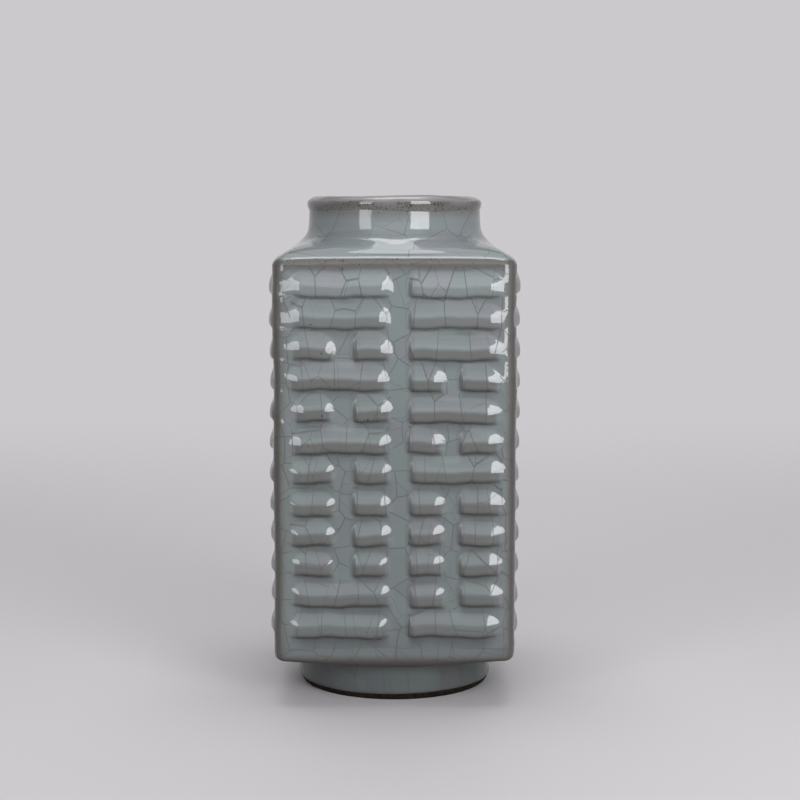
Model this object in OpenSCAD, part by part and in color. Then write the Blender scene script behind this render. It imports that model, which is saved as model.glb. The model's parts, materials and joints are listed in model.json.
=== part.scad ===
// Square cong vase with the eight trigrams in relief on each of its four walls.
// The walls, floor, shoulder, neck, lip and foot are separate pieces of clay that are luted together,
// and every line of a trigram is a strip of clay laid on its wall.
// Millimetres, +Z up. The origin is the middle of the foot's resting face, and the front wall faces -Y.

/* [Body] */
// Width of the square body across two opposite walls
body_w = 133.5; // [105:0.5:200]
// Height of the body from its underside to the edge of its shoulder
body_h = 224; // [150:1:320]
// Thickness of the four wall slabs
wall_t = 6.5; // [4:0.5:9]
// Radius of the upright corners
corner_r = 8; // [4:0.5:9]
// Thickness of the floor slab
floor_t = 8; // [6:0.5:14]
// Radius of the rounded edge under the body
under_r = 5; // [2:0.5:6]

/* [Shoulder] */
// Height of the upright band at the shoulder's edge
shoulder_edge = 5; // [3.5:0.5:10]
// Radius of the shoulder's rounded edge
shoulder_round = 2.5; // [1:0.5:5]
// Width of the slope between the walls and the neck's base, at the middle of a wall
shoulder_w = 13.75; // [10:0.25:24]
// Rise of the slope from the upright band to the neck
shoulder_rise = 8; // [4:0.5:14]
// Thickness of the shoulder where the neck stands on it
shoulder_t = 7; // [4:0.5:8]
// Width of the flat ledge under the shoulder, round the mouth
roof_ledge = 3; // [1:0.5:5]

/* [Neck and lip] */
// How far the neck's base flares out to meet the shoulder
flare_w = 4.25; // [2:0.25:6]
// Thickness of the neck's wall
neck_t = 5.75; // [4:0.25:10]
// Height of the neck from the shoulder to the lip
neck_h = 18; // [13:0.5:60]
// How far the lip stands out from the neck
lip_w = 2.5; // [0.5:0.25:6]
// Height of the lip
lip_h = 7; // [4:0.5:12]
// Radius of the lip's rolled edges
lip_roll = 3; // [1:0.1:5]

/* [Foot] */
// Height of the foot ring
foot_h = 24.5; // [10:0.5:40]
// How far the foot ring stands in from the walls
foot_inset = 10.75; // [6:0.25:25]
// Thickness of the foot ring's wall
foot_t = 10; // [6:0.5:14]
// Height of the bare edge that the foot stands on
bare_h = 3.2; // [1:0.1:6]
// How far the bare edge tapers in
bare_taper = 2.2; // [0.5:0.1:4]

/* [Trigrams] */
// Plain band above the first line
top_margin = 8; // [6:0.5:14]
// Plain band below the last line
bottom_margin = 14.7; // [9:0.1:20]
// Plain band between a wall's corner and the ends of its lines
side_margin = 12.4; // [10:0.1:18]
// Width of the plain strip between the two columns
column_gap = 10.7; // [6:0.1:16]
// How far that strip stands to the right of the wall's middle
gap_shift = 2.5; // [-4:0.1:4]
// Groove between one line and the next
line_gap = 3.3; // [2:0.1:5]
// How far a line stands out of its wall
relief = 2.6; // [1.5:0.1:4.5]
// How much rounder than its relief each end of a line is
end_soft = 0.7; // [0.3:0.1:2]
// Gap in a broken line of the left column
left_break = 10; // [4:0.1:14]
// Gap in a broken line of the right column
right_break = 6.7; // [4:0.1:12]

/* [Inner seams] */
// Radius of the clay coils that are pressed into the inner seams
coil_r = 5; // [3:0.5:8]

/* [Hidden] */
$fn = 64;
hull_fn = 32;
over = 1;

// Heights of the seams
floor_top = foot_h + floor_t;
shoulder_z = foot_h + body_h - shoulder_edge;
neck_z = foot_h + body_h + shoulder_rise;
lip_z = neck_z + neck_h;

// Body and foot
wall_h = shoulder_z - floor_top;
inner_w = body_w - 2 * wall_t;
foot_d = body_w - 2 * foot_inset;
under_edge = min(under_r, corner_r, floor_t - over);

// Widths of the shoulder, neck and lip, from the walls inwards
flare_d = body_w - 2 * shoulder_w;
neck_d = flare_d - 2 * flare_w;
mouth_d = neck_d - 2 * neck_t;
roof_d = mouth_d + 2 * roof_ledge;
roof_z = shoulder_edge + shoulder_rise - shoulder_t;
lip_band = neck_t + lip_w;
lip_edge = min(lip_roll, (lip_h - over) / 2, (lip_band - over) / 2);

// The shoulder's slope is tangent to its rounded edge,
// and the neck's flare is an arc that turns from upright to that slope
top_edge = min(shoulder_round, corner_r, shoulder_edge - over);
edge_run = shoulder_w - top_edge;
edge_rise = shoulder_rise + top_edge;
slope = atan2(edge_rise, edge_run) - asin(top_edge / norm([edge_run, edge_rise]));
flare_r = flare_w / (1 - sin(slope));
flare_top = flare_r * cos(slope);

// Trigrams: two columns of four, three lines each, read from the top
lines_in_column = 12;
line_pitch = (body_h - top_margin - bottom_margin + line_gap) / lines_in_column;
line_h = line_pitch - line_gap;
slope_h = line_h - relief;
slope_r = (pow(slope_h, 2) + pow(relief, 2)) / (2 * relief);
end_r = relief + end_soft;
first_line_top = foot_h + body_h - top_margin;
left_len = body_w / 2 - side_margin + gap_shift - column_gap / 2;
right_len = body_w / 2 - side_margin - gap_shift - column_gap / 2;
column_len = [left_len, right_len];
column_x = [gap_shift - column_gap / 2 - left_len / 2, gap_shift + column_gap / 2 + right_len / 2];
column_break = [left_break, right_break];
LEFT = 0;
RIGHT = 1;

// Name, column, place from the top, and its lines: 1 is whole and 0 is broken
TRIGRAMS = [
    ["heaven", RIGHT, 0, [1, 1, 1]],
    ["water", RIGHT, 1, [0, 1, 0]],
    ["mountain", RIGHT, 2, [1, 0, 0]],
    ["thunder", RIGHT, 3, [0, 0, 1]],
    ["wind", LEFT, 0, [1, 1, 0]],
    ["fire", LEFT, 1, [1, 0, 1]],
    ["earth", LEFT, 2, [0, 0, 0]],
    ["lake", LEFT, 3, [0, 1, 1]],
];

// Each wall and each inner corner, with its turn about the vase's axis
WALLS = [["front", 0], ["right", 90], ["back", 180], ["left", 270]];
CORNERS = [["front_left", 0], ["front_right", 90], ["back_right", 180], ["back_left", 270]];

GLAZE = [0.49, 0.54, 0.54];
LIP_GLAZE = [0.50, 0.48, 0.46];
INNER_GLAZE = [0.53, 0.57, 0.56];

function wall_name(w) = str(w[0], "_wall");
function coil_name(c) = str(c[0], "_seam_coil");
function trigram_name(w, t) = str(w[0], "_", t[0], "_trigram");

// A square with rounded corners, centred
module rounded_square(w, r) {
    square([w, w - 2 * r], center = true);
    square([w - 2 * r, w], center = true);
    for (x = [-1, 1], y = [-1, 1])
        translate([x, y] * (w / 2 - r)) circle(r);
}

// The foot: a thrown ring with a tapered bare edge to stand on
module foot_ring() {
    outer = foot_d / 2;
    inner = outer - foot_t;
    color(GLAZE)
    rotate_extrude()
    polygon([
        [inner, 0],
        [outer - bare_taper, 0],
        [outer, bare_h],
        [outer, foot_h],
        [inner, foot_h],
    ]);
}

// The four corners of a square plate as wide as the body, thickness t, whose edge at z = 0 is rounded by r
module plate_corners(t, r) {
    for (x = [-1, 1], y = [-1, 1])
        translate([x * (body_w / 2 - corner_r), y * (body_w / 2 - corner_r), r]) {
            cylinder(r = corner_r, h = t - r, $fn = hull_fn);
            rotate_extrude($fn = hull_fn)
            intersection() {
                translate([corner_r - r, 0]) circle(r, $fn = hull_fn);
                translate([0, -r]) square([corner_r, r]);
            }
        }
}

// The floor: a slab as wide as the body, with a rounded lower edge, that the walls stand on
module floor_slab() {
    color(GLAZE)
    translate([0, 0, foot_h])
    hull() plate_corners(floor_t, under_edge);
}

// One wall: a slab mitred at both ends, with half of each rounded corner
module wall_slab() {
    color(GLAZE)
    translate([0, 0, floor_top])
    linear_extrude(wall_h)
    intersection() {
        difference() {
            rounded_square(body_w, corner_r);
            square(inner_w, center = true);
        }
        polygon([[0, 0], [-body_w, -body_w], [body_w, -body_w]]);
    }
}

// A quarter-round coil of clay, length l, along +Z from an inner edge at the origin
module quarter_coil(l) {
    linear_extrude(l)
    intersection() {
        circle(coil_r);
        square(coil_r + over);
    }
}

// The coil in one upright inner corner
module corner_coil() {
    color(INNER_GLAZE)
    translate([-inner_w / 2, -inner_w / 2, floor_top])
    quarter_coil(wall_h);
}

// The coils along the four seams between floor and walls, from corner coil to corner coil
module floor_seam_coils() {
    l = inner_w - 2 * coil_r;
    color(INNER_GLAZE)
    for (w = WALLS)
        rotate(w[1])
        translate([-l / 2, -inner_w / 2, floor_top])
        rotate([90, 0, 90])
        quarter_coil(l);
}

// The shoulder: a cap that slopes from the square of the walls to the round of the neck
module shoulder() {
    color(GLAZE)
    translate([0, 0, shoulder_z])
    difference() {
        hull() {
            translate([0, 0, shoulder_edge]) mirror([0, 0, 1]) plate_corners(shoulder_edge, top_edge);
            cylinder(d = flare_d, h = shoulder_edge + shoulder_rise);
        }
        hull() {
            translate([0, 0, -over]) linear_extrude(over) square(inner_w, center = true);
            translate([0, 0, -over]) cylinder(d = roof_d, h = over + roof_z, $fn = hull_fn);
        }
        cylinder(d = mouth_d, h = shoulder_edge + shoulder_rise + over);
    }
}

// The neck: a thrown collar whose base flares to meet the shoulder
module neck() {
    color(GLAZE)
    translate([0, 0, neck_z])
    rotate_extrude()
    difference() {
        translate([mouth_d / 2, 0]) square([(flare_d - mouth_d) / 2, neck_h]);
        translate([neck_d / 2 + flare_r, flare_top]) circle(flare_r);
        translate([neck_d / 2, flare_top]) square([flare_d, neck_h]);
    }
}

// The lip: a rolled band round the mouth
module lip() {
    color(LIP_GLAZE)
    translate([0, 0, lip_z])
    rotate_extrude()
    translate([mouth_d / 2, 0]) {
        square([lip_band - lip_edge, lip_h - lip_edge]);
        translate([lip_edge, 0]) square([lip_band - 2 * lip_edge, lip_h]);
        translate([0, lip_edge]) square([lip_band, lip_h - 2 * lip_edge]);
        translate([lip_edge, lip_h - lip_edge]) circle(lip_edge);
        translate([lip_band - lip_edge, lip_h - lip_edge]) circle(lip_edge);
        translate([lip_band - lip_edge, lip_edge]) circle(lip_edge);
    }
}

// The section of a line, with the wall at x = 0 and its lower edge at y = 0:
// a quarter-round under a low crest, and a long arc from the crest up to the wall
module line_section() {
    intersection() {
        translate([0, relief]) circle(relief);
        translate([-end_r, -over]) square([end_r, relief + over]);
    }
    intersection() {
        translate([slope_r - relief, relief]) circle(slope_r);
        translate([-end_r, relief]) square([end_r, line_h]);
    }
}

// One strip of clay, length l, lying on the front of its wall with its lower edge at z = 0
module line_strip(l) {
    intersection() {
        translate([-l / 2, 0, 0]) rotate([90, 0, 90]) linear_extrude(l) line_section();
        translate([0, 0, -over]) linear_extrude(line_h + 2 * over) {
            square([l - 2 * end_r, 2 * end_r], center = true);
            for (x = [-1, 1]) translate([x * (l / 2 - end_r), 0]) circle(end_r);
        }
    }
}

// The three lines of one trigram on the front wall, each whole or broken in the middle
module trigram(t) {
    column = t[1];
    l = column_len[column];
    half = (l - column_break[column]) / 2;
    color(GLAZE)
    for (i = [0:2])
        translate([column_x[column], -body_w / 2, first_line_top - (3 * t[2] + i) * line_pitch - line_h])
        if (t[3][i] == 1)
            line_strip(l);
        else
            for (x = [-1, 1]) translate([x * (l - half) / 2, 0, 0]) line_strip(half);
}

foot_ring();
floor_slab();
shoulder();
neck();
lip();
floor_seam_coils();
for (w = WALLS) rotate(w[1]) wall_slab();
for (c = CORNERS) rotate(c[1]) corner_coil();
for (w = WALLS, t = TRIGRAMS) rotate(w[1]) trigram(t);
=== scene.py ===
# %% [markdown]
# A square vase in crackle glaze
#
# The vase in the photograph is built from slabs of clay: four walls with the lines of the eight trigrams laid on
# them, a floor, a round foot, a sloping shoulder, a short neck and a rolled lip. A thick grey-green glaze has melted
# over all of it and has crackled as it cooled. The CAD model gives the main sizes. This lesson covers it with
# softer surfaces that are worked out with numpy, as the glaze covers the clay.

# %% Load the frame
import json
import math

import bpy
import numpy as np
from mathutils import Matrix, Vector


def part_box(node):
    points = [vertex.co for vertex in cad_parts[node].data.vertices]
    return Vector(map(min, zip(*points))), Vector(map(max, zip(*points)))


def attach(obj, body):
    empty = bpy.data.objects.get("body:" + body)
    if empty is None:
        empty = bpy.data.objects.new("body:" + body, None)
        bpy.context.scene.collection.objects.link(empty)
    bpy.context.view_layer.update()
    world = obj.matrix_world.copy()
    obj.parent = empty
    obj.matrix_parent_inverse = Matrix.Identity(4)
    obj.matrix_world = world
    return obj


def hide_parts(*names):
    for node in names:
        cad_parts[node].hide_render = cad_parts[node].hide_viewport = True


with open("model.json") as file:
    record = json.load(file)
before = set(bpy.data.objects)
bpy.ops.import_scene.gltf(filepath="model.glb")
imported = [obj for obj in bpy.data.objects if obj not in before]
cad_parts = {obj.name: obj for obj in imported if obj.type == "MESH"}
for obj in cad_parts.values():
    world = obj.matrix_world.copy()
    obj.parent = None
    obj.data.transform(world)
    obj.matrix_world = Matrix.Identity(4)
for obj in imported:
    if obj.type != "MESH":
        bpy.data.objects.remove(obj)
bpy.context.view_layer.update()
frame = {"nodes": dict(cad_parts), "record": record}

# %% [markdown]
# The main sizes come from the CAD model's boxes, so the glazed pieces follow the clay. The small forms that the glaze
# and the hand add are set further down, against the photograph. All sums below are in millimetres, and become metres
# only when a mesh is made.

# %% Sizes of the vase
def node_box(node):
    """The lowest and the highest corner of a CAD node, in millimetres."""
    return [np.array(corner) * 1000 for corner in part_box(node)]


wall_low, wall_high = node_box("front_wall")
half_w = -wall_low[1]
inner_half = -wall_high[1]
wall_foot, wall_top = wall_low[2], wall_high[2]
corner_r = (half_w - wall_high[0]) / (1 - math.sqrt(0.5))
flat_half = half_w - corner_r
wall_reach = flat_half + corner_r * math.pi / 4
print(f"walls {2 * half_w:.1f} wide, {wall_foot:.1f} to {wall_top:.1f} high, corner radius {corner_r:.1f}")

under_z, foot_r = node_box("foot_ring")[1][2], node_box("foot_ring")[1][0]
slope_top, flare_r = node_box("neck")[0][2], node_box("neck")[1][0]
lip_low, lip_top = node_box("lip")[0][2], node_box("lip")[1][2]
lip_r = node_box("lip")[1][0]
mouth_r = next(m for m in frame["record"]["mounts"] if m["name"] == "mouth")["dims"]["r_mm"]
print(f"foot radius {foot_r:.1f}, neck base {flare_r:.1f} at {slope_top:.1f}, lip {lip_r:.1f}, mouth {mouth_r:.1f}")

# %% [markdown]
# Each wall carries two columns of twelve lines. A line is whole or broken in the middle, and three lines make a
# trigram. The columns' places, the pitch of the lines and the width of the breaks are measured on the CAD strips.

# %% Places of the trigram lines
def break_edges(node):
    """The two edges of the gap in a broken line: the strip's corners nearest to the column's middle on each side."""
    x = np.array([v.co.x for v in frame["nodes"][node].data.vertices]) * 1000
    middle = (x.min() + x.max()) / 2
    return x[x < middle].max(), x[x > middle].min()


left_low, left_high = node_box("front_wind_trigram")
right_low, right_high = node_box("front_heaven_trigram")
line_pitch = (right_high[2] - node_box("front_water_trigram")[1][2]) / 3
groove = 3 * line_pitch - (right_high[2] - right_low[2])
line_h = line_pitch - groove
line_relief = left_high[1] - left_low[1]
first_top = right_high[2]

WHOLE, BROKEN = 1, 0
left_lines = np.array([WHOLE, WHOLE, BROKEN, WHOLE, BROKEN, WHOLE, BROKEN, BROKEN, BROKEN, BROKEN, WHOLE, WHOLE])
right_lines = np.array([WHOLE, WHOLE, WHOLE, BROKEN, WHOLE, BROKEN, WHOLE, BROKEN, BROKEN, BROKEN, BROKEN, WHOLE])
columns = [
    {"lines": left_lines, "ends": (left_low[0], left_high[0]), "break": break_edges("front_earth_trigram")},
    {"lines": right_lines, "ends": (right_low[0], right_high[0]), "break": break_edges("front_water_trigram")},
]
print(f"lines {line_h:.2f} high every {line_pitch:.2f}, relief {line_relief:.2f}, breaks",
      [tuple(round(float(e), 1) for e in c["break"]) for c in columns])

# %% [markdown]
# The camera comes first, because every later choice is judged through it. The photograph was taken with a long lens
# from a little over one metre, just under the height of the rim and tilted slightly down: the walls' upright edges
# draw together by less than two parts in a hundred towards the foot.

# %% Camera
tilt = math.radians(4.5)
lens = bpy.data.cameras.new("photo_camera")
lens.sensor_width = 36
lens.lens = 77.5
lens.shift_x, lens.shift_y = 0.0068, -0.056
camera = bpy.data.objects.new("photo_camera", lens)
camera.location = (0, -1.0015, 0.2683)
camera.rotation_euler = (math.pi / 2 - tilt, 0, 0)
bpy.context.scene.collection.objects.link(camera)
bpy.context.scene.camera = camera
print("camera at", tuple(round(v, 3) for v in camera.location), "lens", lens.lens)

# %% [markdown]
# The photograph's studio has a tall bright softbox on the right, a narrower and dimmer one on the left, a wide soft
# light over the front, and a strip and a softbox over the top. Their mirror images are what the glaze shows: white
# patches on the ends of the lines, two windows on the neck and a bright line on the slope. So their places were
# worked out from those patches. A ceiling and a fill from behind only even out the room, and the fill is hidden from
# the camera and from mirror images, so that it leaves no patch of its own.

# %% Lights
def softbox(name, azimuth, distance, middle_z, size, power, look_at=(0, 0, 0.15)):
    """A rectangular light at an azimuth from the camera's side, in degrees to the right, aimed at the vase."""
    light = bpy.data.lights.new(name, "AREA")
    light.shape = "RECTANGLE"
    light.size, light.size_y = size
    light.energy = power
    light.color = (0.985, 0.975, 1.0)
    lamp = bpy.data.objects.new(name, light)
    turn = math.radians(azimuth)
    lamp.location = (distance * math.sin(turn), -distance * math.cos(turn), middle_z)
    aim = np.array(look_at) - np.array(lamp.location)
    lamp.rotation_euler = (math.atan2(math.hypot(aim[0], aim[1]), -aim[2]), 0, math.atan2(-aim[0], aim[1]))
    bpy.context.scene.collection.objects.link(lamp)
    return lamp


softbox("right_softbox", 33, 1.1, 0.40, (0.50, 0.55), 7.6, look_at=(0, 0, 0.40))
softbox("left_softbox", -38.6, 1.1, 0.40, (0.31, 0.55), 3.0, look_at=(0, 0, 0.40))
softbox("front_light", 0, 2.5, 1.9, (4.0, 3.0), 36)
softbox("top_strip", 0, 0.05, 1.35, (0.64, 0.20), 2.6, look_at=(0, -0.055, 0.25))
softbox("top_softbox", 180, 0.165, 1.35, (0.78, 0.23), 1.9, look_at=(0, -0.06, 0.25))
softbox("ceiling", 180, 0.3, 2.2, (2.0, 2.0), 10.5)
back_fill = softbox("back_fill", 180, 2.4, 0.75, (3.0, 1.5), 42)
back_fill.visible_camera = back_fill.visible_glossy = False

world = bpy.data.worlds.new("studio_air")
bpy.context.scene.world = world
world.use_nodes = True
world.node_tree.nodes["Background"].inputs["Color"].default_value = (0.8, 0.8, 0.82, 1)
world.node_tree.nodes["Background"].inputs["Strength"].default_value = 0.06
bpy.context.scene.view_settings.view_transform = "Standard"

# %% [markdown]
# Every new piece is a grid of points. One helper turns a grid into a mesh: it numbers the four corners of each little
# face, joins the last column to the first where a piece goes all the way round, and stores a flat map of the surface
# in millimetres, which the crackle is drawn on.

# %% Grid to mesh
def grid_faces(rows, cols, round_rows=False, round_cols=False):
    """Corner numbers of each face of a grid, and the same corners as grid places before they wrap round."""
    r, c = np.meshgrid(np.arange(rows - 1 + round_rows), np.arange(cols - 1 + round_cols), indexing="ij")
    row = np.stack([r, r, r + 1, r + 1], -1).reshape(-1, 4)
    col = np.stack([c, c + 1, c + 1, c], -1).reshape(-1, 4)
    return (row % rows) * cols + col % cols, row, col


def make_piece(name, points, faces, flat_map, shade, material, corner_normals=None, sharp=40):
    """A mesh object from points in millimetres, faces, a map place for each face corner and a shade for each point.

    The shade holds three darkenings of a point's colour: a dark line where glaze pools, a brown tint where it runs
    thinner, and an overall darkening. Besides real pooling and thinning glaze they carry painted shade, and an overall
    darkening below 0 paints a point paler."""
    mesh = bpy.data.meshes.new(name)
    mesh.from_pydata(points / 1000, [], faces)
    mesh.shade_smooth()
    mesh.set_sharp_from_angle(angle=math.radians(sharp))
    layer = mesh.uv_layers.new(name="glaze_map")
    layer.data.foreach_set("uv", np.asarray(flat_map, np.float32).ravel())
    # the stored shades carry painted shade as well as pooling and thinning glaze
    stored = mesh.attributes.new("glaze_and_painted_shade", "FLOAT_VECTOR", "POINT")
    stored.data.foreach_set("vector", np.asarray(shade, np.float32).ravel())
    if corner_normals is not None:
        mesh.normals_split_custom_set(corner_normals.reshape(-1, 3))
    mesh.materials.append(material)
    piece = bpy.data.objects.new(name, mesh)
    bpy.context.scene.collection.objects.link(piece)
    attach(piece, "root")
    mesh.calc_loop_triangles()
    print(f"{name}: {len(mesh.vertices)} points, {len(mesh.loop_triangles)} triangles")
    return piece


# %% [markdown]
# Hand-built clay is never quite flat. A few long waves in random directions, added together, give a gentle
# unevenness. The same waves run through the whole space of the vase, so two pieces that meet move alike.

# %% Unevenness of hand-built clay
def waves(points, length, seed, count=12):
    """The sum of plane waves with random directions and phases, near the given length, scaled to about one."""
    random = np.random.default_rng(seed)
    way = random.normal(size=(3, count))
    way *= 2 * math.pi / (length * random.uniform(0.7, 1.5, count) * np.linalg.norm(way, axis=0))
    return np.sin(points @ way + random.uniform(0, 2 * math.pi, count)).sum(-1) / math.sqrt(count / 2)


def unevenness(points):
    """How far the surface stands out or in, in millimetres: long waves from the hand, short ones from the glaze."""
    return 0.22 * waves(points, 55, seed=3) + 0.05 * waves(points, 13, seed=4)


# %% [markdown]
# One wall's plan is a straight run with half of a rounded corner at each end. It is written as a function of the
# distance along the surface, so that a grid can follow it, and it runs on past the corner's middle: that gives the
# next wall's surface too, and smooth shading across the seam.

# %% Plan of one wall
def wall_plan(along):
    """Point and outward direction of the front wall's plan at a distance along it from the wall's middle."""
    side, run = np.sign(along), np.abs(along)
    turn = np.clip((run - flat_half) / corner_r, 0, None)
    place = np.stack([side * (np.minimum(run, flat_half) + corner_r * np.sin(turn)),
                      -half_w + corner_r * (1 - np.cos(turn))], -1)
    return place, np.stack([side * np.sin(turn), -np.cos(turn)], -1)


def turned(plan, quarter):
    """A plan turned about the vase's axis by a number of quarter turns, front, right, back, left."""
    c, s = [(1, 0), (0, 1), (-1, 0), (0, -1)][quarter % 4]
    return np.stack([c * plan[..., 0] - s * plan[..., 1], s * plan[..., 0] + c * plan[..., 1]], -1)


# %% [markdown]
# Under the glaze, a line's section is a soft wave. Its crest is low: above it the surface falls in half a wave of a
# cosine to the groove, and below it stays nearly upright and then turns in. The ends droop into the wall, the outer
# ones over a long way and those that face left over a short one. The photograph shows this: a line is brightest half
# way up, where it leans back most, and a mirror image is wide where a surface turns slowly.

# %% Section and ends of a line
crest = 5.2
groove_floor = 0.9
glazed_relief = 2.4


def ramp(value, low, high):
    """How far a value is on its way from low to high, kept between 0 and 1; low may be the larger of the two."""
    return np.clip((value - low) / (high - low), 0, 1)


def line_section(up):
    """Height of a line at a distance above its lower edge: 1 at the crest, a cosine above it, a power below."""
    under = 1 - (np.clip(crest - up, 0, None) / crest) ** 5
    far = ramp(up, crest, line_pitch - groove_floor)
    return np.where(up < crest, under, 0.5 + 0.5 * np.cos(math.pi * far))


def end_droop(x, end, length, way, power):
    """How far a strip droops near an end that points left or right (way -1 or 1): a power of the way to the end."""
    return (np.clip(way * (x - end) + length, 0, None) / length) ** power


def left_shade(x, end):
    """How much painted shade darkens an end that points left: half a sine wave across the end, 6 mm wide."""
    return np.sin(math.pi * ramp(x, end + 4.4, end - 1.6))


def above_wall(height, soft=0.22):
    """A height that melts into the wall: itself where it is well above 0, and nearly 0 where it is below."""
    return 0.5 * (height + np.sqrt(height ** 2 + soft ** 2))


# %% [markdown]
# A column's lines end in different ways. At the wall's edge they run out over the start of the rounded corner, and at
# a break or between the columns they stop short. At the left of the first five lines the margin is pressed in a
# little, so that their ends turn more slowly to the light on the left.

# %% Ends of a column's lines
def line_ends(side, column, along, lean):
    """How the lines of the left or right column end (side -1 or 1): outer and inner droop, dark left ends, how flat
    the outer ends stay, how far the margin is pressed in, and how far the corner falls away under the left ends.

    The droops, the dark ends and the press are tables with a row for each place along the wall and 12 lines."""
    x, line = along[:, None], np.arange(12)
    start, stop = column["ends"]
    gap_start, gap_stop = column["break"]
    broken = np.where(column["lines"] == WHOLE, 0, 1)
    second = gap_stop + lean[:, 3] / 2
    dark = broken * left_shade(x, second)
    first_half = end_droop(x, gap_start + 1.4 + lean[:, 2], 8.5 + 0.8 * side, 1, 1.5)
    inner = broken * np.minimum(first_half, end_droop(x, second, 3.4, -1, 1.4))
    if side < 0:
        length, power = np.minimum(7.6 + 0.2 * line, 8.2), np.linspace(1.02, 1.3, 12)
        outer = end_droop(x, start - 4.4 + lean[:, 0], length, -1, power)
        inner = inner + end_droop(x, stop + 1.2 + lean[:, 1], 8, 1, 1.5)
        flat = np.minimum(0.5 + 0.12 * line, 0.8)
        dip = np.interp(along, [-wall_reach, -flat_half - 2.6, start + 2], [0, 1, 0])
        press = dip[:, None] * np.clip(1 - (line - 1) / 4, 0, 0.9)
        arc_drop = corner_r * (1 - np.cos(np.clip((-x - flat_half) / corner_r, 0, 0.45)))
    else:
        first = start - 0.6 + lean[:, 1] / 2
        outer = end_droop(x, stop + 6.5 + lean[:, 0], 9.5, 1, 1.2)
        inner = inner + end_droop(x, first, 3.4, -1, 1.4)
        flat = np.linspace(0.6, 0.45, 12)
        dark = np.maximum(dark, left_shade(x, first))
        press, arc_drop = np.zeros((len(along), 12)), 0
    return outer, inner, dark, flat, press, arc_drop


# %% [markdown]
# The relief of a wall takes both columns together. Each line is laid by hand, so its height, its ends and its tilt
# differ a little from the next one's, and it wavers along its length. The same sums say where the glaze pools under a
# line, and where painted shade browns the lines' lower halves and darkens their ends that point left and the groove
# under each line. The glaze has run down a little, so the lines lie lower than the CAD strips.

# %% Relief of a wall
line_drop = 0.8
glazed_top = first_top - line_drop
column_gap = (columns[0]["ends"][1] + columns[1]["ends"][0]) / 2


def line_number(z):
    """The number of the line at a height, from the first line's top: 0 to 1 in the first line, and so on."""
    return (glazed_top + groove / 2 - z) / line_pitch


def wall_relief(along, z, quarter):
    """Height of the relief, and how it lies: a line's cover, the cover of the line over a groove, the height above
    the line's lower edge and how dark an end is."""
    random = np.random.default_rng(21 + quarter)
    row = np.clip(line_number(z).astype(int), 0, 11)
    height, cover, above, left_end_shade, shaded = np.zeros((5, len(along), len(z)))
    x = along[:, None]
    for side, column in zip((-1, 1), columns):
        lean = random.normal(0, 0.7, (12, 4))
        shift, tip, bold = random.normal(0, 0.3, 12), random.normal(0, 0.008, 12), random.normal(1, 0.05, 12)
        outer, inner, dark, flat, press, arc_drop = line_ends(side, column, along, lean)
        laid = 1 - outer - inner
        outer, inner, dark = outer[:, row], inner[:, row], dark[:, row]
        lower_edge = glazed_top - row * line_pitch - line_h
        up = z - lower_edge - shift[row] - tip[row] * (x - sum(column["ends"]) / 2)
        up = up + 0.4 * np.sin(x / 7 + 9 * shift[row]) + 0.2 * np.sin(x / 2.6 + 20 * shift[row])
        section = line_section(up)
        kept = np.clip(1 - flat[row] * outer, 0, 1) * np.clip(1 - 0.7 * inner, 0, 1)
        stand = glazed_relief * bold[row] * (section * kept - (1 - flat[row]) * outer - 0.3 * inner)
        sunk = press[:, row] * np.clip(section, 0, 1)
        stand = above_wall(stand + arc_drop + sunk) - sunk
        mine = side * (x - column_gap) >= 0
        line_over = np.where(up < 0, row, np.maximum(row - 1, 0))
        height, above = np.where(mine, stand, height), np.where(mine, up, above)
        cover = np.where(mine, laid[:, row], cover)
        shaded = np.where(mine, np.take_along_axis(laid, line_over, 1), shaded)
        # painted shade on the ends that point left
        left_end_shade = np.where(mine, 0.3 * dark * np.clip(section * 2, 0, 1), left_end_shade)
    return height, np.clip(cover, 0, 1), np.clip(shaded, 0, 1), above, left_end_shade


# %% [markdown]
# Each line has its own crackle, because cracks cross a line straight and stop at the grooves. So a line gets its own
# stretch of the flat map that the crackle is drawn on, and the wall between the lines keeps the plain map.

# %% Crackle map of a wall
crackle_cell = 15.0


def crackle_map(x, z, cover, quarter):
    """Map place of each face corner: the length round the vase and the height, or a line's own map on a line.

    A line's own map keeps close to the middle of one row of cells, so its cracks cross it and stop at the grooves."""
    line = np.floor((glazed_top + groove - z.mean(1, keepdims=True)) / line_pitch)
    on_line = (cover.mean(1, keepdims=True) > 0.3) & (line >= 0) & (line < 12)
    own = 137 * (line + 12 * quarter) + 61 * (x.mean(1, keepdims=True) > column_gap)
    across = crackle_cell * (line + 0.5) + 0.5 * (z - first_top + line_h / 2 + line * line_pitch)
    return np.stack([np.where(on_line, x + own, x + quarter * 2 * wall_reach), np.where(on_line, across, z)], -1)


# %% [markdown]
# A finish is a set of shader nodes. A few small helpers add a node, set it and join its inputs, so that a finish
# reads as a list of steps.

# %% Shader helpers
def put(tree, kind, inputs=None, **settings):
    """Adds one shader node; inputs maps a socket's name or number to a plain value or to another node's output."""
    made = tree.nodes.new(kind)
    for name, value in settings.items():
        setattr(made, name, value)
    for socket, value in (inputs or {}).items():
        if isinstance(value, bpy.types.NodeSocket):
            tree.links.new(value, made.inputs[socket])
        else:
            made.inputs[socket].default_value = value
    return made


def maths(tree, operation, *values, kind="ShaderNodeMath"):
    """The result of one sum, such as MULTIPLY, over plain values and other nodes' outputs."""
    return put(tree, kind, dict(enumerate(values)), operation=operation).outputs[0]


def vector_maths(tree, operation, *values):
    """The result of one sum over vectors."""
    return maths(tree, operation, *values, kind="ShaderNodeVectorMath")


def blend(tree, factor, first, second, mode="MIX"):
    """The colour between two colours, by a factor."""
    mix = put(tree, "ShaderNodeMix", {0: factor, 6: first, 7: second}, data_type="RGBA", blend_type=mode)
    return mix.outputs[2]


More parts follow.
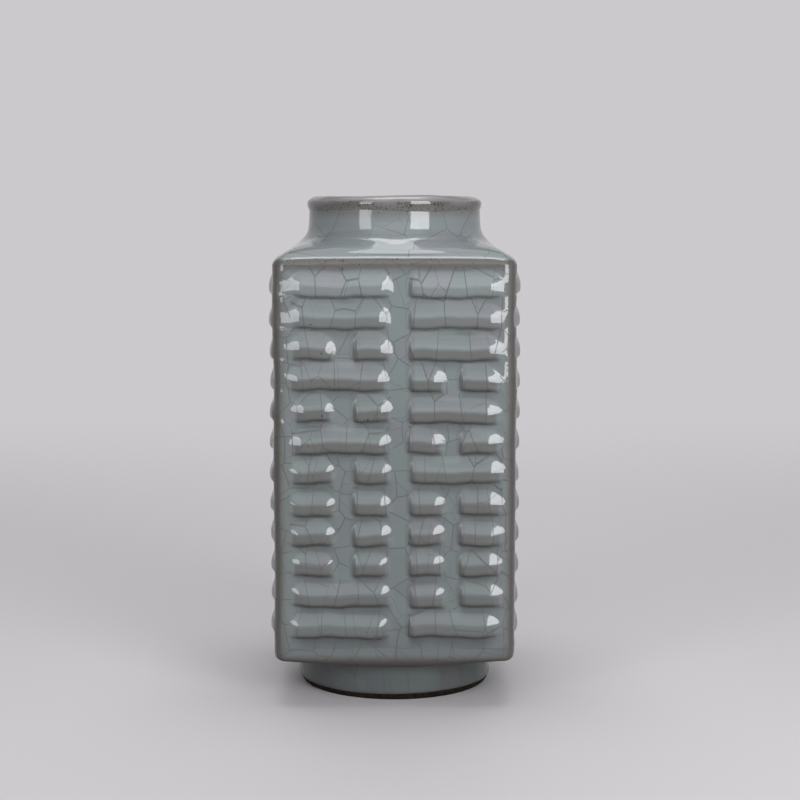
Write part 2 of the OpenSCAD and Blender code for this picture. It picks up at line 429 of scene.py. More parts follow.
def between(tree, value, low, high, start=0.0, end=1.0):
    """A value carried smoothly from the range low to high onto the range start to end."""
    made = put(tree, "ShaderNodeMapRange", {"Value": value, "From Min": low, "From Max": high, "To Min": start,
                                            "To Max": end}, interpolation_type="SMOOTHSTEP")
    return made.outputs["Result"]


def new_finish(name):
    """A new material, its tree of nodes and its main shader."""
    material = bpy.data.materials.new(name)
    material.use_nodes = True
    return material, material.node_tree, material.node_tree.nodes["Principled BSDF"]


# %% [markdown]
# Crackle is a net of fine cracks that opens when the glaze shrinks more than the clay. The first cracks bound large
# cells, and later and finer ones divide some of the cells and stop at the first. A Voronoi texture gives both: its
# distance to the edge draws the net, and the second net is moved by each first cell's own random colour, so that it
# ends at the first net's lines.

# %% Crackle net
def crackle(tree, cell, fine_cell):
    """Masks of the first and the fine cracks, and each cell's random colour, on the glaze map in millimetres."""
    place = put(tree, "ShaderNodeUVMap", uv_map="glaze_map").outputs["UV"]
    sway = put(tree, "ShaderNodeTexNoise", {"Vector": place, "Scale": 0.06, "Detail": 1.0}, noise_dimensions="2D")
    centred = vector_maths(tree, "SUBTRACT", sway.outputs["Color"], (0.5, 0.5, 0.5))
    moved = vector_maths(tree, "MULTIPLY_ADD", centred, (2.5, 2.5, 0.0), place)
    first_net = {"Vector": moved, "Scale": 1 / cell, "Randomness": 0.8}
    cells = put(tree, "ShaderNodeTexVoronoi", first_net, voronoi_dimensions="2D")
    edge = put(tree, "ShaderNodeTexVoronoi", first_net, voronoi_dimensions="2D", feature="DISTANCE_TO_EDGE")
    own = vector_maths(tree, "MULTIPLY_ADD", cells.outputs["Color"], (90.0, 90.0, 0.0), moved)
    fine_net = {"Vector": own, "Scale": 1 / fine_cell}
    fine_edge = put(tree, "ShaderNodeTexVoronoi", fine_net, voronoi_dimensions="2D", feature="DISTANCE_TO_EDGE")
    first = between(tree, edge.outputs["Distance"], 0.08 / cell, 0.42 / cell, 1.0, 0.0)
    fine = between(tree, fine_edge.outputs["Distance"], 0.04 / fine_cell, 0.24 / fine_cell, 1.0, 0.0)
    return first, fine, cells.outputs["Color"]


# %% [markdown]
# Gas escapes from the clay in the kiln and leaves pinholes where the glaze is thin, most of all on the lip. They are
# the middles of small Voronoi cells on a crooked map, and each cell's random colour says whether it has one and how
# large it is.

# %% Pinholes
pinhole_cell = 1.3


def pinholes(tree, thin_glaze_and_shade, pitted):
    """A mask of dots, as strong as the brown tint there, which stands for thinning glaze and painted shade; pitted is
    the share of the cells that have a dot.
    """
    place = put(tree, "ShaderNodeUVMap", uv_map="glaze_map").outputs["UV"]
    bend = put(tree, "ShaderNodeTexNoise", {"Vector": place, "Scale": 0.7}, noise_dimensions="2D").outputs["Color"]
    crooked = vector_maths(tree, "MULTIPLY_ADD", bend, (2.2, 2.2, 0.0), place)
    cells = put(tree, "ShaderNodeTexVoronoi", {"Vector": crooked, "Scale": 1 / pinhole_cell}, voronoi_dimensions="2D")
    luck = put(tree, "ShaderNodeSeparateColor", {"Color": cells.outputs["Color"]})
    radius = between(tree, luck.outputs[1], 0.0, 1.0, 0.12, 0.42)
    reach = maths(tree, "DIVIDE", cells.outputs["Distance"], radius)
    dot = between(tree, reach, 0.5, 1.0, 1.0, 0.0)
    chosen = maths(tree, "LESS_THAN", luck.outputs[0], pitted)
    shown = between(tree, thin_glaze_and_shade, 0.1, 0.6)
    return maths(tree, "MULTIPLY", maths(tree, "MULTIPLY", dot, chosen), shown)


# %% [markdown]
# The glaze is an opaque grey-green with a glossy skin. Each cell has its own slight tint, between green and a lilac
# grey. Three stored shades darken it: a dark line where the glaze pools, a brown tint where it runs thinner and the
# brown clay shows through, and an overall darkening. Besides real pooling and thinning glaze they carry painted shade,
# and a darkening below 0 paints a place paler. The cracks are stained. All of that goes into one colour, and the
# cracks also roughen and dent the surface a little.

# %% Crackle glaze
# the brown tint stands for thinning glaze and for painted shade
GLAZE_TINTS = (0.216, 0.256, 0.252), (0.224, 0.243, 0.254), (0.117, 0.112, 0.102)
CRACK_STAIN = (0.055, 0.054, 0.05, 1)
PINHOLE_DARK = (0.02, 0.018, 0.015, 1)


def glaze_material(name, green, lilac, brown, pitted=0.0, cell=crackle_cell, fine_cell=crackle_cell, crack=0.75):
    """The vase's glaze: cell tints, darkening and browning by the stored shades, which carry painted shade as well as
    pooling and thinning glaze, and two nets of cracks over a glossy skin.
    """
    material, tree, shader = new_finish(name)
    first, fine, cell_colour = crackle(tree, cell, fine_cell)
    cell_parts = put(tree, "ShaderNodeSeparateColor", {"Color": cell_colour}).outputs
    object_place = put(tree, "ShaderNodeTexCoord").outputs["Object"]
    cloud = put(tree, "ShaderNodeTexNoise", {"Vector": object_place, "Scale": 38.0, "Detail": 3.0}).outputs["Fac"]
    stored = put(tree, "ShaderNodeAttribute", attribute_name="glaze_and_painted_shade").outputs["Vector"]
    pooled_line_and_shade, thin_glaze_and_shade, painted_shade = put(tree, "ShaderNodeSeparateXYZ", {0: stored}).outputs
    tint = maths(tree, "MULTIPLY", cell_parts[0], cloud)
    base = blend(tree, between(tree, tint, 0.1, 0.6), (*green, 1), (*lilac, 1))
    base = blend(tree, 1.0, base, between(tree, cell_parts[1], 0.0, 1.0, 0.97, 1.03), "MULTIPLY")
    # painted shade: the overall darkening, which paints the colour paler below 0
    base = blend(tree, 1.0, base, maths(tree, "MULTIPLY_ADD", painted_shade, -0.57, 1.0), "MULTIPLY")
    # brown tint: thinning glaze and painted shade
    base = blend(tree, thin_glaze_and_shade, base, (*brown, 1))
    # dark line: glaze that pools and painted shade
    base = blend(tree, pooled_line_and_shade, base, tuple(0.42 * v for v in brown) + (1,))
    fine_shown = between(tree, cell_parts[2], 0.45, 0.75, 0.0, 0.6 * crack)
    first_shown = between(tree, cloud, 0.3, 0.65, 0.45 * crack, crack)
    fine_mask, first_mask = maths(tree, "MULTIPLY", fine, fine_shown), maths(tree, "MULTIPLY", first, first_shown)
    cracks = maths(tree, "MAXIMUM", first_mask, fine_mask)
    base = blend(tree, cracks, base, CRACK_STAIN)
    base = blend(tree, pinholes(tree, thin_glaze_and_shade, pitted), base, PINHOLE_DARK)
    tree.links.new(base, shader.inputs["Base Color"])
    matt = maths(tree, "MULTIPLY_ADD", pooled_line_and_shade, 2.5, cracks)
    tree.links.new(between(tree, matt, 0.0, 1.0, 0.045, 0.5), shader.inputs["Roughness"])
    skin = put(tree, "ShaderNodeTexNoise", {"Vector": object_place, "Scale": 160.0, "Detail": 2.0}).outputs["Fac"]
    height = maths(tree, "MULTIPLY_ADD", cracks, -0.5, skin)
    bump = put(tree, "ShaderNodeBump", {"Height": height, "Strength": 0.25, "Distance": 0.0001})
    tree.links.new(bump.outputs["Normal"], shader.inputs["Normal"])
    shader.inputs["IOR"].default_value = 1.5
    return material


body_glaze = glaze_material("crackle_glaze", *GLAZE_TINTS, pitted=0.01)
print("finish:", body_glaze.name, len(body_glaze.node_tree.nodes), "nodes")

# %% [markdown]
# The shade of a wall follows the relief, and most of it is painted. A dark line under each line is partly glaze that
# pools and partly painted shade, and painted shade darkens the ends that point left. Painted shade browns the lower
# half of each line and the corners, and darkens the groove under each line and the wall lower down, less at its
# margins; the first line is painted paler. The wall is darker still at its bottom, and brown under the shoulder.

# %% Shade of a wall, mostly painted
def corner_shade(along):
    """How much painted shade browns the glaze towards a corner, where the wall turns away from the lights: most at the
    corner's middle.
    """
    past = np.abs(along) - flat_half
    return 0.25 * ramp(past, -4, 1) + 0.7 * ramp(past, 1, 5.5)


def corner_shade_line(along):
    """How dark the painted shade line is along a corner's middle."""
    return 0.3 * ramp(np.abs(along) - flat_half, 3.8, 6)


def wall_shade(along, z, cover, shaded, above, left_end_shade):
    """The shade of a wall's front, mostly painted: a dark line and dark ends, a brown tint, and an overall darkening.
    """
    on_line = ramp(cover, 0.35, 0.6)
    # a dark line at each line's lower edge, partly glaze that pools and partly painted shade, and painted shade on the
    # ends that point left
    pooled_line_and_shade = np.maximum(np.exp(-((above + 0.1) / 0.9) ** 2) * on_line * 0.3, left_end_shade)
    # painted shade browns each line's lower half, less on the first lines and the last
    line_underside_shade = np.interp(line_number(z), [0, 3, 10.5, 12], [0.1, 0.72, 0.67, 0.3])
    thin_glaze_and_shade = ramp(above, crest + 2.4, crest + 0.2) * on_line * (above > -0.4) * line_underside_shade
    brow = 0.95 * ramp(z, wall_top - 5, wall_top)
    below_line = np.where(above < 0, -above, line_pitch - above)
    # painted shadow in the groove under each line, where the line above hides the light
    groove_shadow = 0.6 * ramp(below_line, 6.4, 0) * shaded
    # painted light: the first line is paler
    first_line_light = ramp(z, first_top - line_pitch, first_top - line_pitch + 4) * cover
    # painted shade darkens the wall lower down, less at the margins; it is darker still at the bottom
    off_margins = 1 - 0.5 * ramp(np.abs(along)[:, None], 48, 56)
    painted_shade = 0.4 * ramp(z, 230, 105) * off_margins + 0.25 * ramp(z, 50, 33)
    painted_shade += groove_shadow - 0.25 * first_line_light * (1 - groove_shadow)
    return np.stack([np.maximum(pooled_line_and_shade, corner_shade_line(along)[:, None]),
                     np.maximum(thin_glaze_and_shade, np.maximum(corner_shade(along)[:, None], brow)), painted_shade], -1)


# %% [markdown]
# A wall is one closed piece: its glazed front with the relief, its plain inside and two mitred sides, where it meets
# its neighbours. The front is a fine grid over the plan's length and the height. Its normals are worked out on a grid
# with one more point on every side, so that the light runs on across the seams.

# %% Walls
def surface_normals(grid):
    """Unit normals inside a grid of points, from the differences between the neighbours on both sides."""
    along = grid[2:, 1:-1] - grid[:-2, 1:-1]
    up = grid[1:-1, 2:] - grid[1:-1, :-2]
    normal = np.cross(along, up)
    return normal / np.linalg.norm(normal, axis=-1, keepdims=True)


def upright(plan, z):
    """Points over every place of a plan, at every height."""
    heights = np.broadcast_to(z[None, :, None], (len(plan), len(z), 1))
    return np.concatenate([np.repeat(plan[:, None], len(z), 1), heights], -1)


def wall_front(along, z, quarter):
    """Points of a wall's front: the plan at each height, moved outwards by the relief and the unevenness."""
    plan, out = (turned(v, quarter) for v in wall_plan(along))
    points = upright(plan, z)
    height, *lie = wall_relief(along, z, quarter)
    outwards = height + unevenness(points)
    points[..., :2] += out[:, None] * outwards[..., None]
    return points, *lie


def wall_piece(name, quarter):
    """One closed wall: the front grid, then the two inner corners at every height, and flat ends."""
    step_x, step_z = 0.85, 0.62
    n, m = round(2 * wall_reach / step_x), round((wall_top - wall_foot) / step_z)
    along = np.linspace(-wall_reach, wall_reach, n + 1)
    z = np.linspace(wall_foot, wall_top, m + 1)
    pad = [along[0] - step_x, *along, along[-1] + step_x], [z[0] - step_z, *z, z[-1] + step_z]
    grid, *lie = wall_front(*map(np.array, pad), quarter)
    normals = surface_normals(grid)
    front, cover, *lie = (v[1:-1, 1:-1] for v in (grid, *lie))
    inner = turned(np.array([[inner_half, -inner_half], [-inner_half, -inner_half]]), quarter)
    points = np.concatenate([front, upright(inner, z)])
    loops = len(points)
    sides, row, col = (v[:, ::-1] for v in grid_faces(loops, m + 1, round_rows=True))
    number = np.arange(loops * (m + 1)).reshape(loops, m + 1)
    lids = [number[::-1, 0].tolist(), number[:, -1].tolist()]
    front_face = (row <= n).all(1)
    flat = np.zeros((len(sides), 4, 2))
    flat[front_face] = crackle_map(along[row[front_face]], z[col[front_face]],
                                   cover[row[front_face], col[front_face]], quarter)
    flat[~front_face] = np.stack([400 + 40.0 * row[~front_face], z[col[~front_face]]], -1)
    lid_flat = points.reshape(-1, 3)[np.concatenate(lids)][:, :2]
    shade = np.zeros((loops, m + 1, 3))
    shade[:-2] = wall_shade(along, z, cover, *lie)
    corner_normals = np.zeros((sides.size + sum(map(len, lids)), 3))
    on_front = np.repeat(front_face, 4)
    corner_normals[:sides.size][on_front] = normals.reshape(-1, 3)[sides[front_face].ravel()]
    piece = make_piece(name, points.reshape(-1, 3), sides.tolist() + lids,
                       np.concatenate([flat.reshape(-1, 2), lid_flat]), shade, body_glaze, corner_normals)
    return piece


TRIGRAMS = ["heaven", "water", "mountain", "thunder", "wind", "fire", "earth", "lake"]
for quarter, side in {0: "front", 1: "right", 2: "back", -1: "left"}.items():
    piece = wall_piece(f"{side}_wall_glazed", quarter)
    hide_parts(f"{side}_wall", *[f"{side}_{t}_trigram" for t in TRIGRAMS])

# %% [markdown]
# The shoulder, neck, lip, floor and foot are rings carried up a profile. A ring is a rounded square near the walls and
# a circle near the neck. A few listed rings, and a smooth B-spline through the column of rings, give a form as soft as
# thrown clay.

# %% Rings and splines
ring_along = np.linspace(-wall_reach, wall_reach, 85)[:-1]
ring_plan, ring_out = (np.concatenate([turned(v, q) for q in (-1, 0, 1, 2)]) for v in wall_plan(ring_along))
ring_angle = np.unwrap(np.arctan2(ring_plan[:, 1], ring_plan[:, 0]))
ring_round = np.stack([np.cos(ring_angle), np.sin(ring_angle)], -1)
ring_length = np.concatenate([ring_along + q * 2 * wall_reach for q in (-1, 0, 1, 2)])
corner_share = np.tile(np.clip(np.abs(ring_along) / flat_half, 0, 1) ** 2, 4)


def square_ring(inset, z):
    """The walls' outline moved inwards by an inset, at a height, which may differ along the ring."""
    plan = ring_plan - np.asarray(inset).reshape(-1, 1) * ring_out
    return np.concatenate([plan, np.broadcast_to(np.reshape(z, (-1, 1)), (len(plan), 1))], -1)


def round_ring(radius, z):
    """A circle at a height, with its points at the same angles as the square ring's."""
    return np.concatenate([radius * ring_round, np.full((len(ring_round), 1), float(z))], -1)


def spline_weights(f):
    """Six times the shares of four neighbours in a cubic B-spline, at a part f of the way between the middle two."""
    return (1 - f) ** 3, 3 * f ** 3 - 6 * f ** 2 + 4, -3 * f ** 3 + 3 * f ** 2 + 3 * f + 1, f ** 3


def spline(rings, steps=5):
    """Cubic B-spline down the column of rings, with its ends held: each point is a weighted mean of four rings."""
    held = np.stack([rings[0]] * 2 + list(rings) + [rings[-1]] * 2)
    t = np.linspace(0, len(held) - 3, steps * (len(held) - 3) + 1)
    k = np.minimum(t.astype(int), len(held) - 4)
    return sum(w * held[k + i] for i, w in enumerate(spline_weights((t - k)[:, None, None]))) / 6


def uneven(rings, share=1.0):
    """Rings moved along their own normals by a share of the unevenness; past its ends the column runs straight on."""
    pad = np.concatenate([rings[:, -1:], rings, rings[:, :1]], 1)
    pad = np.concatenate([2 * pad[:1] - pad[1:2], pad, 2 * pad[-1:] - pad[-2:-1]])
    normal = -np.cross(pad[2:, 1:-1] - pad[:-2, 1:-1], pad[1:-1, 2:] - pad[1:-1, :-2])
    normal /= np.maximum(np.linalg.norm(normal, axis=-1, keepdims=True), 1e-9)
    return rings + normal * (np.reshape(share, (-1, 1)) * unevenness(rings))[..., None]


# %% [markdown]
# A ring piece closes on itself: the last ring joins the first through a flat seam face that is hidden in the clay.
# Its crackle map is the length round the vase and the length along the profile.

# %% Ring piece
map_round = 52
walls_map = np.concatenate([ring_length, ring_length[:1] + 8 * wall_reach])
round_map = map_round * np.concatenate([ring_angle, ring_angle[:1] + 2 * math.pi])


def profile_steps(rings):
    """The mean length of each step from one ring to the next."""
    return np.linalg.norm(np.diff(rings, axis=0), axis=-1).mean(1)


def ring_piece(name, rings, material, shade=None, map_start=300.0, square_rows=0, squeeze=1.0):
    """A closed piece from a column of rings, whose last ring joins the first.

    Its first rows go on the walls' map, and squeeze shortens the map upright, which makes cracks run upright."""
    rows, cols = rings.shape[:2]
    faces, row, col = grid_faces(rows, cols, round_rows=True, round_cols=True)
    travel = profile_steps(rings)
    v = map_start + squeeze * np.concatenate([[0], np.cumsum(travel), [travel.sum() + 2]])
    flat = np.stack([np.where(row[:, :1] < square_rows, walls_map[col], round_map[col]), v[row]], -1)
    lie = np.zeros((rows, cols, 3)) if shade is None else shade
    piece = make_piece(name, rings.reshape(-1, 3), faces, flat, lie, material)
    return piece


# %% [markdown]
# The shoulder and neck are one glazed surface in the photograph. It starts upright on the walls, rounds over the
# shoulder's edge, which sags a little towards the corners, climbs the slope and turns up into the neck. The inside
# comes back down to the walls.

# %% Shoulder and neck
neck_r = 49.6
edge_sag = 0.3 * corner_share + 0.9 * corner_share ** 8
edge_z = wall_top + 4.3 - edge_sag


def slope_ring(radius, z, roundness):
    """A ring between the walls' outline and a circle, which reach equally far forward, by its roundness."""
    return (1 - roundness) * square_ring(half_w - radius, z - edge_sag) + roundness * round_ring(radius, z)


outside = [square_ring(0, wall_top), square_ring(0, wall_top + 0.6), square_ring(0.05, edge_z - 2.6),
           square_ring(0.4, edge_z - 1.4), square_ring(1.3, edge_z - 0.3), square_ring(2.3, edge_z + 0.6),
           square_ring(3.4, edge_z + 1.3), square_ring(4.8, edge_z + 2.0),
           slope_ring(flare_r + 6.9, slope_top - 4.9, 0.06), slope_ring(flare_r + 4.2, slope_top - 2.8, 0.26),
           slope_ring(flare_r + 2.1, slope_top - 0.9, 0.7), round_ring(flare_r + 0.5, slope_top + 0.7),
           round_ring(neck_r + 2.4, slope_top + 2.4), round_ring(neck_r + 1.2, slope_top + 4.2),
           round_ring(neck_r + 0.5, slope_top + 6.3), round_ring(neck_r + 0.2, slope_top + 9),
           round_ring(neck_r, slope_top + 12), round_ring(neck_r - 0.1, lip_low - 1.5),
           round_ring(neck_r - 0.2, lip_low + 0.6)]
inside = [round_ring(mouth_r + 1.5, lip_low + 0.6), round_ring(mouth_r, lip_low - 2),
          round_ring(mouth_r, lip_low - 9), round_ring(mouth_r, slope_top),
          round_ring(mouth_r + 0.5, slope_top - 5), round_ring(mouth_r + 4, slope_top - 7),
          square_ring(half_w - inner_half, wall_top + 1), square_ring(half_w - inner_half, wall_top)]
outer_rings, inner_rings = spline(outside), spline(inside)
outer_rings = uneven(outer_rings, np.clip(np.linspace(1.2, -1.8, len(outer_rings)), 0.2, 1))
collar_rings = np.concatenate([outer_rings, inner_rings])

# %% [markdown]
# The glaze runs thinner over the shoulder's edge, where a brown band shows. Painted shade browns the neck under the
# lip, and the corners up to the shoulder's edge, with a dark line down the corners' middle. The cells are wider on the
# slope and neck than on the walls, and the cracks are fainter, so these get a glaze of their own.

# %% Glaze of the shoulder and neck
band_thin = 0.85
rows_on_walls_map = 26
collar_z = collar_rings[..., 2]
band = ramp(collar_z, edge_z + 0.6, edge_z - 0.9)
shade_under_lip = ramp(collar_z, lip_low - 6, lip_low - 2)
collar_shade = np.zeros(collar_rings.shape)
# painted shade: the corners' dark line and brown tint, carried up from the walls to the edge
collar_shade[..., 0] = np.tile(corner_shade_line(ring_along), 4) * band
# the brown band at the shoulder's edge is thinning glaze; the brown under the lip is painted shade
collar_shade[..., 1] = np.maximum(np.maximum(band_thin, np.tile(corner_shade(ring_along), 4)) * band, 0.5 * shade_under_lip)
neck_glaze = glaze_material("neck_glaze", *GLAZE_TINTS, pitted=0.1, cell=23.0, fine_cell=21.0, crack=0.45)
collar = ring_piece("shoulder_and_neck", collar_rings, neck_glaze, collar_shade, wall_top,
                    square_rows=rows_on_walls_map)
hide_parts("shoulder", "neck")

# %% [markdown]
# The lip is a rolled band, hardly wider than the neck, with an upright outside and a rounded top that leans in to the
# mouth. Its profile is one closed loop, carried round the mouth.

# %% Lip
def loop_rings(profile, steps=5):
    """Round rings on a closed cubic B-spline through a loop of radius and height pairs."""
    loop = np.array(profile, float)
    t = np.arange(0, len(loop), 1 / steps)
    k = t.astype(int)
    weighted = [w * loop[(k + i) % len(loop)] for i, w in enumerate(spline_weights((t % 1)[:, None]))]
    return np.stack([round_ring(r, z) for r, z in sum(weighted) / 6])


lip_rings = uneven(loop_rings([
    (mouth_r + 1.0, lip_low - 1.0), (neck_r - 2.6, lip_low - 2.2), (neck_r - 1.0, lip_low - 2.6),
    (neck_r - 0.1, lip_low - 1.4), (neck_r + 0.5, lip_low + 0.2), (lip_r - 0.6, lip_low + 1.6),
    (lip_r - 0.5, lip_low + 3.0), (lip_r - 0.6, lip_low + 4.4), (lip_r - 1.6, lip_top - 1.4),
    (lip_r - 3.4, lip_top - 0.1), (mouth_r + 3.0, lip_top + 0.3), (mouth_r + 0.6, lip_top - 0.6),
    (mouth_r - 0.2, lip_top - 3.0), (mouth_r - 0.1, lip_low)]))

# %% [markdown]
# The lip's tints are paler than the body's, partly a painted sheen on its rounded top. Its outside is darkened by
# painted shade, and it is brown and pitted in patches, partly where the glaze ran off it and partly painted shade
# under the roll. Slow waves round the mouth say where the patches are.

# %% Glaze of the lip
# paler tints: the lip's own tone and a painted sheen on its top
RIM_TINTS_AND_SHEEN = (0.265, 0.257, 0.252), (0.265, 0.252, 0.257), (0.120, 0.115, 0.104)
rim_glaze = glaze_material("rim_glaze", *RIM_TINTS_AND_SHEEN, pitted=0.75, crack=0.12)
lip_z, brown_top, brown_fade = lip_rings[..., 2], lip_low + 4.6, 1.2
patches = np.clip(0.5 + 0.8 * waves(lip_rings * [1, 1, 0], 50, seed=9), 0.1, 1)
patches += (0.5 - patches) * ramp(lip_z, lip_low + 2.5, lip_low)
uneven_top = brown_top + 0.3 * waves(lip_rings, 14, seed=8)
lip_shade = np.zeros(lip_rings.shape)
# brown patches: glaze that ran off, and painted shade under the roll
lip_shade[..., 1] = ramp(lip_z, uneven_top, uneven_top - brown_fade) * patches
# painted shade darkens the lip's outside
lip_shade[..., 2] = 0.35 * ramp(lip_z, brown_top, brown_top - brown_fade)
lip = ring_piece("rolled_lip", lip_rings, rim_glaze, lip_shade, map_start=500.0)
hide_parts("lip")

# %% [markdown]
# The floor slab closes the walls from below. Its lower edge is rounded and sags between the corners, and its flat
# underside shows outside the foot and inside it. Rings run from the middle of its top out to the walls, round the
# edge, and back to the middle below, with a fan of triangles at both middles.

# %% Floor slab
def shrunk_ring(share, z):
    """The walls' outline shrunk towards the axis, turning into a circle as it shrinks."""
    plan = share * (share * ring_plan + (1 - share) * half_w * ring_round)
    return np.concatenate([plan, np.full((len(plan), 1), z)], -1)


top = [shrunk_ring(share, wall_foot) for share in (0.02, 0.3, 0.6, 0.85)]
low_z = under_z - 0.6 - 2.8 * (1 - corner_share)
edge = spline([square_ring(0, wall_foot), square_ring(0, wall_foot - 2), square_ring(0.1, low_z + 3.4),
               square_ring(1.1, low_z + 1.2), square_ring(3.2, low_z), square_ring(6.0, (low_z + under_z) / 2),
               shrunk_ring(0.86, under_z)])
below = [shrunk_ring(share, under_z) for share in (0.7, 0.4, 0.02)]
slab_rings = np.concatenate([np.stack(top), uneven(edge), np.stack(below)])


def slab_shade(z, rows):
    """The shade of the slab's points, whose last two are the middles: darker and browner low down, partly thinning
    glaze and partly painted shade, and darkened all over and at the corners by painted shade.
    """
    shade = np.zeros((len(z), 3))
    # darker and browner low down: partly thinning glaze, partly painted shade
    shade[:, 0] = 0.8 * ramp(z, under_z + 2.2, under_z + 0.2)
    shade[:, 1] = ramp(z, under_z + 4.5, under_z + 1.5)
    # painted shade all over, as at the walls' bottom
    shade[:, 2] = 0.58
    for part, corner in enumerate((corner_shade_line, corner_shade)):
        shade[:-2, part] = np.maximum(shade[:-2, part], np.tile(corner(ring_along), 4 * rows))
    return shade


def slab_piece(name, rings, material):
    """A closed slab from rings that start and end in a small ring, each filled by a fan round its own middle."""
    rows, cols = rings.shape[:2]
    faces, row, col = (v[:, ::-1] for v in grid_faces(rows, cols, round_cols=True))
    middles = np.array([[0, 0, rings[0, 0, 2]], [0, 0, rings[-1, 0, 2]]])
    points = np.concatenate([rings.reshape(-1, 3), middles])
    start, end = np.arange(cols), (rows - 1) * cols + np.arange(cols)
    fans = np.concatenate([np.stack([start, np.roll(start, -1), np.full(cols, rows * cols)], -1),
                           np.stack([np.roll(end, -1), end, np.full(cols, rows * cols + 1)], -1)])
    travel = np.concatenate([[0], np.cumsum(profile_steps(rings))])
    wrapped = np.stack([walls_map[col], wall_foot + travel[len(top)] - travel[row]], -1)
    level = points[:, :2] + [1000, 0]
    edge_face = ((row >= len(top)) & (row < rows - len(below))).all(1)[:, None, None]
    flat = np.concatenate([np.where(edge_face, wrapped, level[faces]).reshape(-1, 2), level[fans].reshape(-1, 2)])
    shade = slab_shade(points[:, 2], rows)
    piece = make_piece(name, points, faces.tolist() + fans.tolist(), flat, shade, material)
    return piece


slab = slab_piece("floor_slab_glazed", slab_rings, body_glaze)
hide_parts("floor_slab")

# %% [markdown]
# The foot is a thrown ring. It is in the vase's own shade, which is painted into its colour: it is darkened all over,
# and more at its top under the body, and its cracks are dark. A shortened map makes most of them run upright.

# %% Foot
foot_inner = foot_r - 10
bare_h = 3.2
foot_rings = loop_rings([
    (foot_inner, under_z + 0.4), (foot_inner, under_z - 4), (foot_inner, under_z / 2), (foot_inner, bare_h + 2),
    (foot_inner + 0.4, bare_h + 0.2), (foot_inner + 4, bare_h), (foot_r - 3, bare_h), (foot_r - 0.9, bare_h - 0.1),
    (foot_r + 0.2, bare_h + 0.9), (foot_r + 0.1, bare_h + 3), (foot_r, under_z / 2), (foot_r, under_z - 5),
    (foot_r + 0.2, under_z - 1.2), (foot_r + 1.2, under_z + 0.2), (foot_r - 4, under_z + 0.6)])
foot_z = foot_rings[..., 2]
# painted shade: the foot is darkened all over
foot_shade = np.ones(foot_rings.shape)
# painted shadow at the foot's top, under the body
foot_shade[..., 0] = 0.7 * ramp(foot_z, under_z - 3, under_z - 0.5)
foot_shade[..., 1] = 0.8 * ramp(foot_z, bare_h + 2.5, bare_h + 0.5)
foot_glaze = glaze_material("foot_glaze", *GLAZE_TINTS, pitted=0.03, crack=1.0)
foot = ring_piece("foot_ring_glazed", uneven(foot_rings), foot_glaze, foot_shade, map_start=700.0,
                  squeeze=0.4)
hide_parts("foot_ring")

# %% [markdown]
# The potter wipes the glaze off the foot's lowest edge, so that it doesn't stick to the kiln, and the bare edge fires
# to a dark, matt brown with a fine grain. It is a piece of its own, a little narrower than the glazed ring.

# %% Bare edge of the foot
bare_clay, clay_tree, clay_shader = new_finish("bare_clay")
clay_place = put(clay_tree, "ShaderNodeTexCoord").outputs["Object"]
grain = put(clay_tree, "ShaderNodeTexNoise", {"Vector": clay_place, "Scale": 420.0, "Detail": 5.0}).outputs["Fac"]
clay_colour = blend(clay_tree, between(clay_tree, grain, 0.35, 0.7), (0.006, 0.005, 0.004, 1),
                    (0.020, 0.015, 0.012, 1))
clay_bump = put(clay_tree, "ShaderNodeBump", {"Height": grain, "Strength": 0.5, "Distance": 0.0004})
clay_tree.links.new(clay_colour, clay_shader.inputs["Base Color"])
clay_tree.links.new(clay_bump.outputs["Normal"], clay_shader.inputs["Normal"])
clay_shader.inputs["Roughness"].default_value = 0.9
clay_shader.inputs["Specular IOR Level"].default_value = 0.15

edge_rings = loop_rings([
    (foot_inner + 0.8, bare_h + 0.6), (foot_inner + 0.3, 1.5), (foot_inner + 0.5, 0), (foot_inner + 0.5, 0),
    (foot_inner + 0.5, 0), (foot_inner + 4, 0), (foot_r - 2.6, 0), (foot_r - 2.4, 0), (foot_r - 2.2, 0.2),
    (foot_r - 1.2, 1.6), (foot_r - 0.5, bare_h), (foot_r - 0.8, bare_h + 1.2), (foot_r - 3, bare_h + 1.2)])
ring_piece("bare_foot_edge", edge_rings, bare_clay)

# %% [markdown]
# Inside, coils of clay are pressed into the seams between the walls and the floor. They only show from above, through
# the mouth, so each CAD coil keeps its shape and gets the glaze of the inside.

# %% Seam coils
inner_glaze, inner_tree, inner_shader = new_finish("inner_glaze")
inner_place = put(inner_tree, "ShaderNodeTexCoord").outputs["Object"]
inner_cloud = put(inner_tree, "ShaderNodeTexNoise", {"Vector": inner_place, "Scale": 45.0, "Detail": 3.0})
inner_colour = blend(inner_tree, inner_cloud.outputs["Fac"], (0.19, 0.23, 0.225, 1), (0.25, 0.28, 0.275, 1))
inner_tree.links.new(inner_colour, inner_shader.inputs["Base Color"])
inner_shader.inputs["Roughness"].default_value = 0.1
coils = [f"{corner}_seam_coil" for corner in ("front_left", "front_right", "back_right", "back_left")]
coils.append("floor_seam_coils")
for coil in coils:
    frame["nodes"][coil].data.materials.clear()
    frame["nodes"][coil].data.materials.append(inner_glaze)
print("coils with the inner glaze:", coils)

# %% [markdown]
# The studio has a plain pale floor that curves up into a backdrop on every side, so that its edge shows in no view.
# It is one grid, whose height grows with the square of the way past a flat middle.

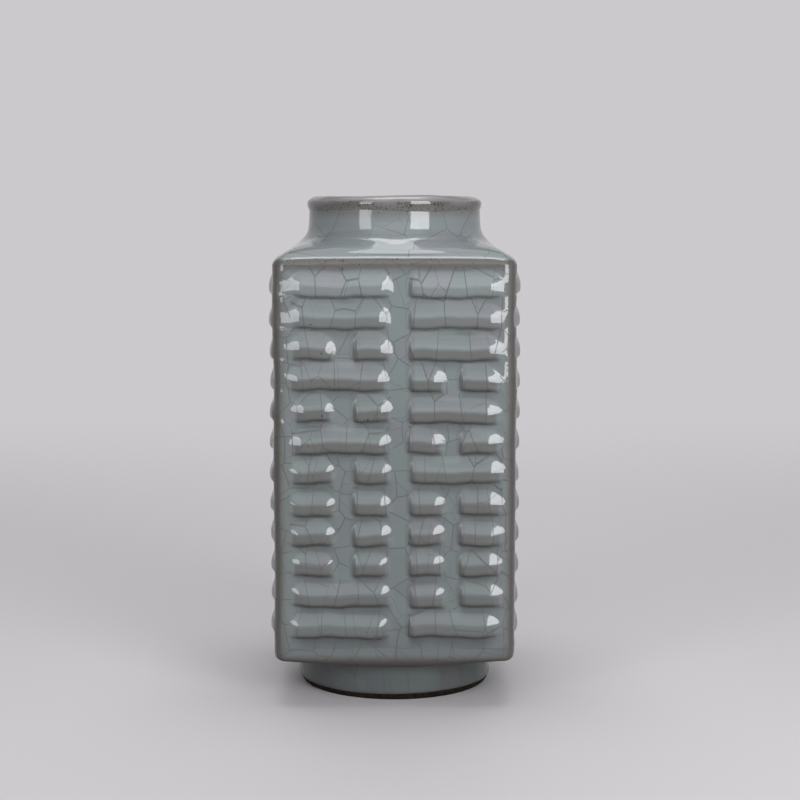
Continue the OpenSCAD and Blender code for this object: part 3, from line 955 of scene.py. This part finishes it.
# %% Floor and backdrop
flat_x, flat_y, flat_middle_y = 5, 3.75, -1.25
paper_x, paper_y = np.meshgrid(np.linspace(-8, 8, 65), np.linspace(-8, 5.5, 55))
past_x, past_y = (np.clip(np.abs(paper_x) - flat_x, 0, None),
                  np.clip(np.abs(paper_y - flat_middle_y) - flat_y, 0, None))
paper_points = np.stack([paper_x, paper_y, 0.5 * (past_x ** 2 + past_y ** 2)], -1)
paper = bpy.data.meshes.new("studio_floor")
paper.from_pydata(paper_points.reshape(-1, 3), [], grid_faces(*paper_x.shape)[0].tolist())
paper.shade_smooth()
floor = bpy.data.objects.new("studio_floor", paper)
bpy.context.scene.collection.objects.link(floor)

# %% [markdown]
# The photograph's table is dark and throws little light up, so the paper is pale to the eye and in mirror images, and
# darker only for the light that it bounces onto the vase. Away from the vase it glows a little, which keeps it even.

# %% Paper of the backdrop
BOUNCE_COLOUR, PAPER_COLOUR = (0.10, 0.095, 0.10, 1), (0.62, 0.605, 0.615, 1)
GLOW_COLOUR = (0.60, 0.585, 0.60, 1)
pale_paper, paper_tree, paper_shader = new_finish("pale_paper")
ray = put(paper_tree, "ShaderNodeLightPath").outputs
seen = maths(paper_tree, "MAXIMUM", ray["Is Camera Ray"], ray["Is Glossy Ray"])
seen = maths(paper_tree, "MAXIMUM", seen, ray["Is Transmission Ray"])
paper_tree.links.new(blend(paper_tree, seen, BOUNCE_COLOUR, PAPER_COLOUR), paper_shader.inputs["Base Color"])
paper_shader.inputs["Roughness"].default_value = 0.7
paper_place = put(paper_tree, "ShaderNodeTexCoord").outputs["Object"]
narrowed = vector_maths(paper_tree, "MULTIPLY", paper_place, (0.45, 1.0, 1.0))
from_vase = put(paper_tree, "ShaderNodeVectorMath", {0: narrowed}, operation="LENGTH").outputs["Value"]
glow = maths(paper_tree, "MULTIPLY", seen, between(paper_tree, from_vase, 0.05, 1.6))
even = put(paper_tree, "ShaderNodeEmission", {"Color": GLOW_COLOUR, "Strength": 1.0})
paper_mix = put(paper_tree, "ShaderNodeMixShader", {0: glow, 1: paper_shader.outputs[0], 2: even.outputs[0]})
paper_tree.links.new(paper_mix.outputs[0], paper_tree.nodes["Material Output"].inputs["Surface"])
paper.materials.append(pale_paper)
print("floor and backdrop:", len(paper.polygons), "faces")
